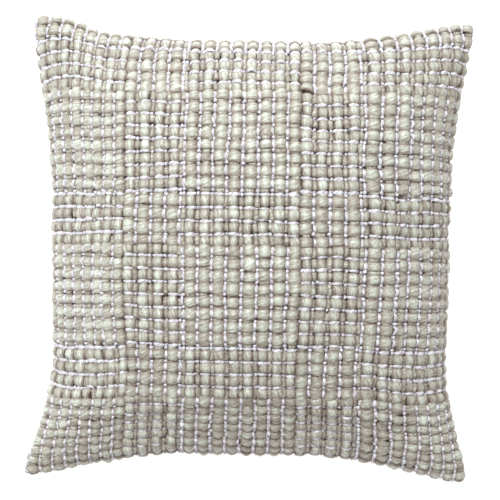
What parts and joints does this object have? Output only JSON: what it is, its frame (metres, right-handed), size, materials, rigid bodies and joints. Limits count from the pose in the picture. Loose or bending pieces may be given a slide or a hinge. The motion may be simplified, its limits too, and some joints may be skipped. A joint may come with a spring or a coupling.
{
  "type": "throw pillow",
  "caption": "Square throw pillow with a chunky woven front of thick and thin yarns, a plain back, a zipper in the lower edge and a separate stuffed insert.",
  "frame": {"origin": "middle of the flat patch the back lies on, which is the bottom centre of the bounding box", "axes": "+Z out of the woven front, +Y towards the top edge, +X to the right seen from the front; the zipper runs along X in the -Y edge"},
  "size_m": [0.4804, 0.4996, 0.164],
  "materials": {
    "woven_front": "thick greige roving with thin off-white yarn, plain weave in blocks",
    "lining": "plain woven backing cloth",
    "plain_back": "cotton and linen plain weave",
    "thread": "polyester sewing thread",
    "zipper_tape": "woven polyester tape",
    "zipper_coil": "nylon monofilament",
    "stop_metal": "bent strip",
    "slider_metal": "die-cast, plated",
    "insert_cloth": "white downproof cotton",
    "fill": "polyester fibre",
    "label": "blank satin tape"
  },
  "bodies": {
    "cover": {"cover_front_panel": "woven_front", "cover_front_lining": "lining", "cover_back_panel": "plain_back", "cover_seam_allowance": "plain_back", "cover_seam_thread": "thread", "cover_overlock_thread": "thread", "zipper_tape_front": "zipper_tape", "zipper_tape_back": "zipper_tape", "zipper_coil_front": "zipper_coil", "zipper_coil_back": "zipper_coil", "zipper_top_stop_front": "stop_metal", "zipper_top_stop_back": "stop_metal", "zipper_bottom_stop": "stop_metal", "zipper_stitch_front": "thread", "zipper_stitch_back": "thread", "insert_shell_front": "insert_cloth", "insert_shell_back": "insert_cloth", "insert_seam": "insert_cloth", "insert_fill": "fill", "care_label": "label", "insert_label": "label"},
    "slider": {"zipper_slider": "slider_metal"},
    "pull": {"zipper_pull": "slider_metal"}
  },
  "joints": [
    {"name": "zipper_travel", "type": "slide", "parent": "cover", "child": "slider", "axis": [-1, 0, 0], "range_m": [0, 0.26]},
    {"name": "pull_flip", "type": "hinge", "parent": "slider", "child": "pull", "pos_m": [0.13, -0.2205, 0.072], "axis": [0, 0, 1], "range_deg": [0, 140]}
  ]
}
